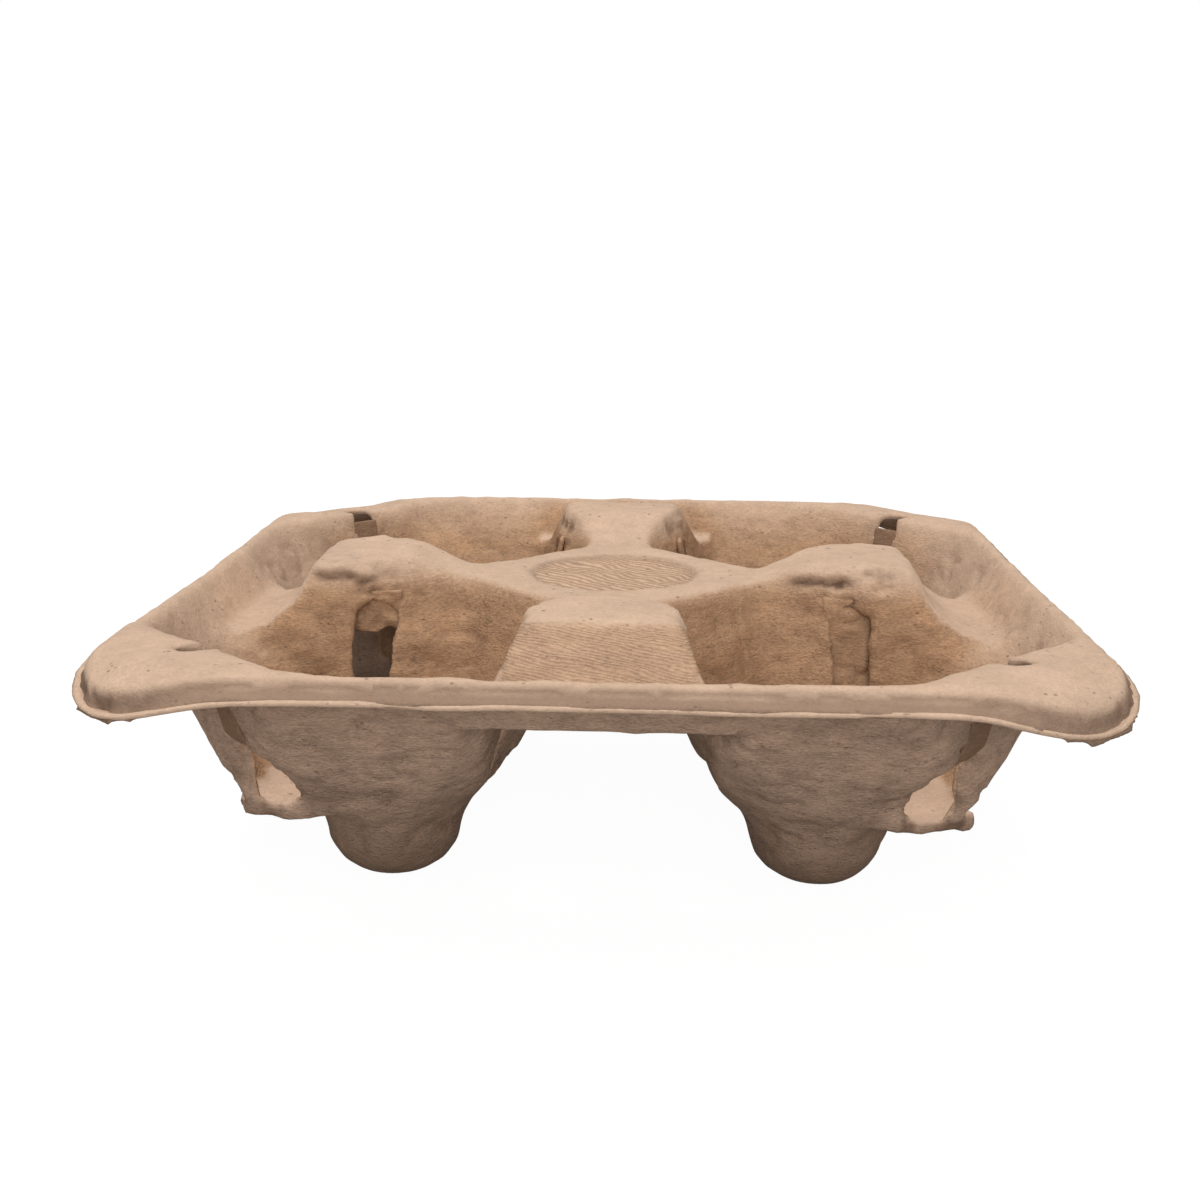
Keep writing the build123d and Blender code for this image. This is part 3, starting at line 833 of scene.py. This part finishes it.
def pulp_material(name, top, deep, outer):
    """Matt fibre: three colours mixed by the pocket tone and the under-lip shade, both partly painted shade,
    times the felt, then flecks, cracks and painted crease shade.
    """
    material = bpy.data.materials.new(name)
    material.use_nodes = True
    tree = material.node_tree
    shader = tree.nodes["Principled BSDF"]
    shader.inputs["Roughness"].default_value = PULP_ROUGH
    shader.inputs["Specular IOR Level"].default_value = PULP_GLOSS

    def attribute(name):
        made = node(tree, "Attribute")
        made.attribute_name = name
        return made.outputs["Fac"]

    def mixed(factor, a, b, mode="MIX"):
        mix = node(tree, "Mix")
        mix.data_type = "RGBA"
        mix.blend_type = mode
        fill(tree, mix.inputs["Factor"], factor)
        fill(tree, mix.inputs[COLOUR_A], a)
        fill(tree, mix.inputs[COLOUR_B], b)
        return mix.outputs[COLOUR_OUT]

    fibre = tree.nodes.new("ShaderNodeGroup")
    fibre.node_tree = fibre_nodes
    fill(tree, fibre.inputs["Place"], node(tree, "TexCoord").outputs["Object"])
    fill(tree, fibre.inputs["Screen"], attribute("screen"))
    # painted shade comes in with the pocket and under-lip tones
    colour = mixed(attribute("pocket_tone_and_shade"), (*top, 1), (*deep, 1))
    colour = mixed(attribute("under_lip_shade"), colour, (*outer, 1))
    felt = ramp(tree, fibre.outputs["Tint"], FELT_RANGE, FELT_GREY)
    grey = node(tree, "CombineColor", Red=felt, Green=felt, Blue=felt).outputs[0]
    rough = arithmetic(tree, "MAXIMUM", attribute("pocket_tone_and_shade"), attribute("under_lip_shade"))
    strong = ramp(tree, rough, (0.0, 1.0), (SMOOTH_SHARE, 1.0))
    colour = mixed(strong, colour, grey, "MULTIPLY")
    colour = mixed(fibre.outputs["Fleck"], colour, FLECK_BROWN)
    colour = mixed(arithmetic(tree, "MULTIPLY", fibre.outputs["Crack"], rough), colour, FLECK_BROWN)
    # painted shade in the creases
    colour = mixed(attribute("crease_shade"), colour, CREASE_SHADE_BROWN)
    fill(tree, shader.inputs["Base Color"], colour)
    height = arithmetic(tree, "MULTIPLY", fibre.outputs["Height"], strong)
    bump = node(tree, "Bump", Strength=BUMP_STRENGTH, Distance=BUMP, Height=height)
    fill(tree, shader.inputs["Normal"], bump.outputs["Normal"])
    return material


pulp = pulp_material("moulded pulp", TOP_TAN, POCKET_BROWN_AND_SHADE, OUTER_BROWN_AND_SHADE)
for piece in (sheet, flash, flaps):
    piece.data.materials.clear()
    piece.data.materials.append(pulp)
    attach(piece, "root")
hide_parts("carrier")
print("finished in", pulp.name + ":", sheet.name + ",", flash.name, "and", flaps.name)

# %% [markdown]
# ## Floor
# The carrier stands on a plain pale floor. The camera, and any gloss, sees it as white with a faint shadow.
# To the light that bounces it is a mid grey, so that little comes back from below and the undersides stay
# dark. The Light Path node tells both kinds of ray apart.

# %% Floor
FLOOR_HALF = 3.0                                     # metres
FLOOR_WHITE, WHITE_SHARE = 1.07, 0.9                 # strength of the white, and its share over the shadow
FLOOR_PALE, FLOOR_GREY = (0.8, 0.8, 0.8, 1), (0.35, 0.33, 0.31, 1)
FIRST, SECOND = 1, 2                                 # the Mix Shader's two shader inputs


def seen_directly(tree):
    """1 for rays that show the backdrop: from the camera, or by way of gloss or glass."""
    path = node(tree, "LightPath").outputs
    seen = arithmetic(tree, "MAXIMUM", path["Is Camera Ray"], path["Is Glossy Ray"])
    return arithmetic(tree, "MAXIMUM", seen, path["Is Transmission Ray"])


def mixed_shader(tree, factor, first, second):
    """Output of a Mix Shader node."""
    mix = node(tree, "MixShader", Fac=factor)
    tree.links.new(first, mix.inputs[FIRST])
    tree.links.new(second, mix.inputs[SECOND])
    return mix.outputs[0]


def floor_material():
    """White with a soft shadow to rays that show it, and a mid grey to the light that it throws back."""
    material = bpy.data.materials.new("pale floor")
    material.use_nodes = True
    tree = material.node_tree
    tree.nodes.clear()
    white = node(tree, "Emission", Strength=FLOOR_WHITE).outputs[0]
    matt = node(tree, "BsdfDiffuse", Color=FLOOR_PALE).outputs[0]
    dull = node(tree, "BsdfDiffuse", Color=FLOOR_GREY).outputs[0]
    shown = mixed_shader(tree, WHITE_SHARE, matt, white)
    node(tree, "OutputMaterial", Surface=mixed_shader(tree, seen_directly(tree), dull, shown))
    return material


floor_mesh = bpy.data.meshes.new("floor")
floor_corners = [(sx * FLOOR_HALF, sy * FLOOR_HALF, 0) for sx, sy in ((-1, -1), (1, -1), (1, 1), (-1, 1))]
floor_mesh.from_pydata(floor_corners, [], [(0, 1, 2, 3)])
floor = bpy.data.objects.new("floor", floor_mesh)
bpy.context.scene.collection.objects.link(floor)
floor_mesh.materials.append(floor_material())
print("floor", 2 * FLOOR_HALF, "m wide")

# %% [markdown]
# ## Backdrop and lamps
# The world is white behind the carrier and a soft, weak light for all other rays. Two large square lamps, one
# overhead and one in front, give a plain even light, as in a small photo tent. One strong lamp would draw
# hard shadows into the pockets.

# %% World
SOFT_WHITE, SOFT_STRENGTH = (1.0, 0.98, 0.96, 1), 0.42
world = bpy.data.worlds.new("studio")
bpy.context.scene.world = world
world.use_nodes = True
world.node_tree.nodes.clear()
behind = node(world.node_tree, "Background", Color=(1, 1, 1, 1)).outputs[0]
around = node(world.node_tree, "Background", Color=SOFT_WHITE, Strength=SOFT_STRENGTH).outputs[0]
backdrop = mixed_shader(world.node_tree, seen_directly(world.node_tree), around, behind)
node(world.node_tree, "OutputWorld", Surface=backdrop)
print("world light of strength", SOFT_STRENGTH)

# %% Lamps
LAMP_SIZE, LAMP_POWER = 0.9, 9.5                               # metres and watts
LAMPS = (
    ("overhead", (-0.15, 0.0, 1.2), (0, 0, 0.05)),             # name, place and aim in metres
    ("front", (0.1, -1.3, 0.5), (0, 0, 0.04)),
)


def lamp(name, at, aim):
    """Square soft lamp at a place in metres, turned toward another."""
    data = bpy.data.lights.new(name, "AREA")
    data.size = LAMP_SIZE
    data.energy = LAMP_POWER
    light = bpy.data.objects.new(name, data)
    light.location = at
    light.rotation_euler = (Vector(aim) - Vector(at)).to_track_quat("-Z", "Y").to_euler()
    bpy.context.scene.collection.objects.link(light)


for name, at, aim in LAMPS:
    lamp(name, at, aim)
print("lamps:", len(LAMPS), "of", LAMP_POWER, "W each")

# %% [markdown]
# ## Camera
# The camera stands a little above the front rim and looks down on it. It was fitted to the rim, so its place
# and turns are uneven numbers. Its three axes are worked out from pitch, yaw and roll, which is easier to
# check than three angles in a row.

# %% Camera
PIXELS = 1200
FOCAL = 1521.0                                # in picture points
SENSOR = 36.0                                 # mm
NEAREST = 0.01                                # metres; nothing nearer is drawn
PITCH, YAW, ROLL = np.radians([13.43, 2.52, 0.44])
CAMERA_AT = np.array([13.0, -373.5, LIP + 79.7])     # mm
up = np.array([0.0, 0.0, 1.0])
right = np.array([np.cos(YAW), np.sin(YAW), 0.0])
ahead = np.array([-np.sin(YAW), np.cos(YAW), 0.0])
view = np.cos(PITCH) * ahead - np.sin(PITCH) * up
top = np.sin(PITCH) * ahead + np.cos(PITCH) * up
right, top = np.cos(ROLL) * right + np.sin(ROLL) * top, np.cos(ROLL) * top - np.sin(ROLL) * right
lens = bpy.data.cameras.new("camera")
lens.sensor_width = SENSOR
lens.lens = FOCAL / PIXELS * SENSOR
lens.clip_start = NEAREST
camera = bpy.data.objects.new("camera", lens)
pose = np.eye(4)
pose[:3] = np.column_stack([right, top, -view, CAMERA_AT * MM])
camera.matrix_world = Matrix(pose.tolist())
bpy.context.scene.collection.objects.link(camera)
bpy.context.scene.camera = camera
bpy.context.scene.view_settings.view_transform = "Standard"
print("lens of", round(lens.lens, 1), "mm at", CAMERA_AT, "mm")
